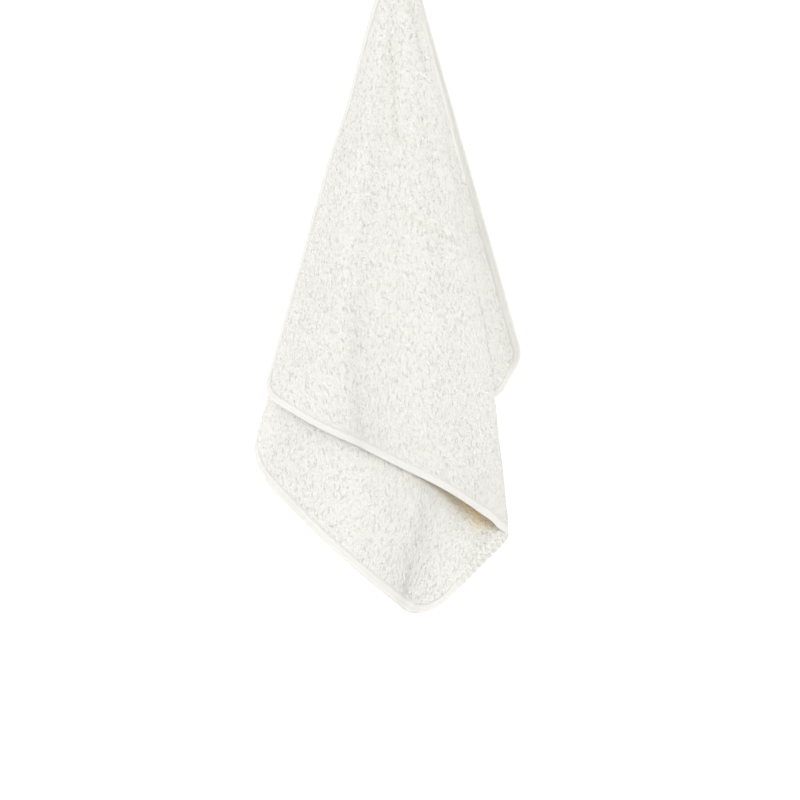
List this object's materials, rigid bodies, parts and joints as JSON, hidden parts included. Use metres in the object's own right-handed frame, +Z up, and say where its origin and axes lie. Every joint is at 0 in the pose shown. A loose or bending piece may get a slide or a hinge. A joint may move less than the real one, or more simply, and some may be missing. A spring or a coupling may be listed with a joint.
{
  "type": "bath towel",
  "caption": "Thick cotton terry bath towel hanging in a folded cone from the middle of one long side.",
  "frame": {"origin": "the hanging point, at the middle of the towel's upper long side", "axes": "+X to the right as the towel's front is seen, +Y away from the front, +Z up"},
  "size_m": [0.3818, 0.376, 0.9562],
  "materials": {
    "terry": "warm white looped cotton terry with plain flat hems"
  },
  "bodies": {
    "root": {"towel": "terry"}
  },
  "joints": []
}
